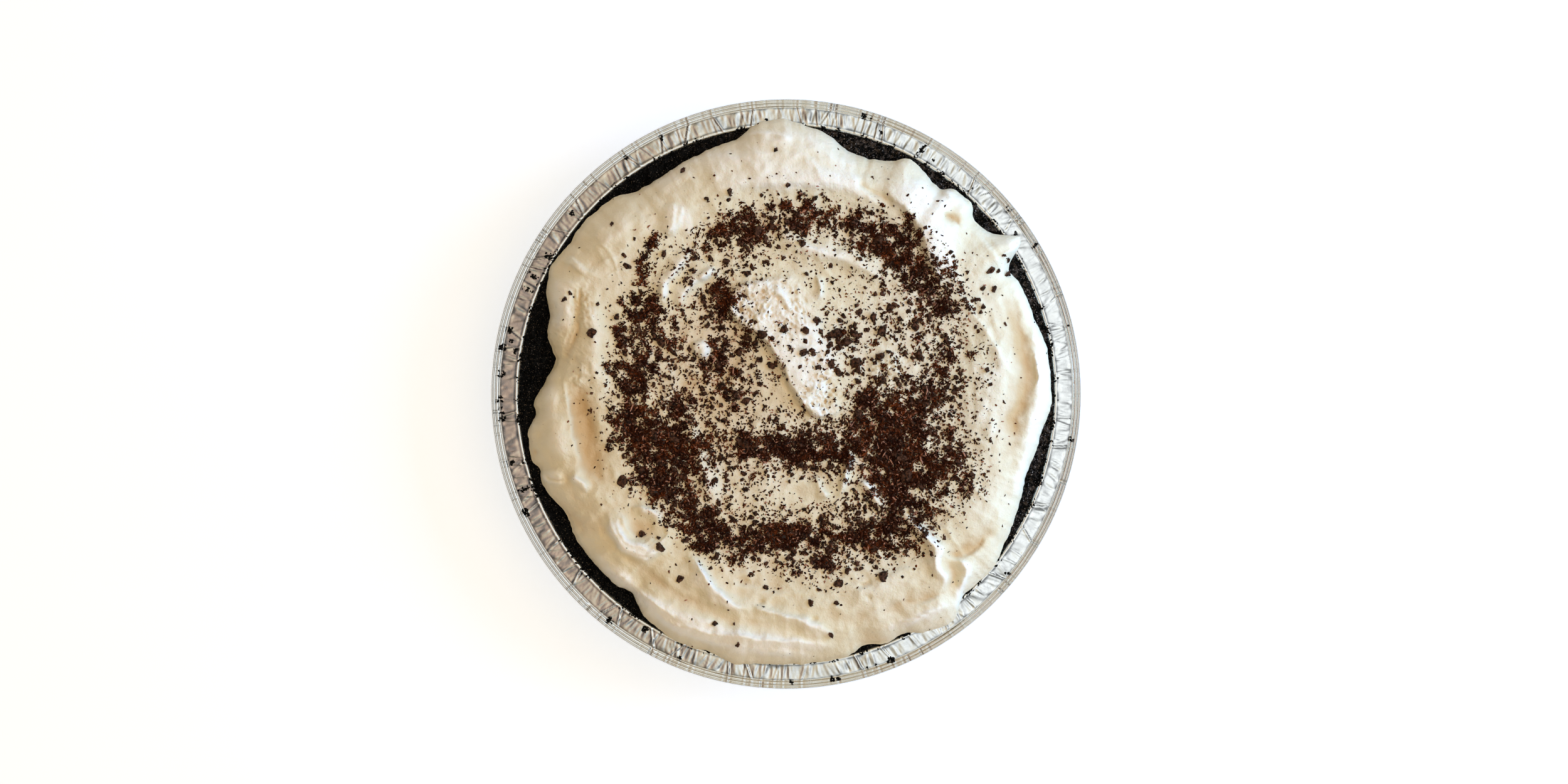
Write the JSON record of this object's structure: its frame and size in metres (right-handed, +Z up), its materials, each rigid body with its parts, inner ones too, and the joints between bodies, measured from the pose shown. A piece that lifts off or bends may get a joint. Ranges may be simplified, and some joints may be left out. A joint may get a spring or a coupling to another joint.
{
  "type": "chocolate icebox pie in its foil pan",
  "caption": "Whole uncut icebox pie: crimped foil pan, dark cookie-crumb crust and swirled whipped topping strewn with grated chocolate.",
  "frame": {"origin": "centre of the pan's flat bottom, on the surface that it stands on", "axes": "+Z up out of the pie, +X and +Y across it, +X to the right and +Y to the top of the picture"},
  "size_m": [0.2286, 0.2286, 0.0474],
  "materials": {
    "foil": "thin pressed foil, bright, with radial crimps round the flange",
    "cookie_crumb": "rough pressed crumb, near black, with small glints",
    "whipped_cream": "soft ivory whipped topping, faintly glossy, light passes a little way in",
    "dark_chocolate": "dark chocolate, grated and chipped: near-black chips with dull broken faces, browner fine gratings"
  },
  "bodies": {
    "root": {"foil_pan": "foil", "crumb_crust": "cookie_crumb", "whipped_cream": "whipped_cream"}
  },
  "joints": []
}
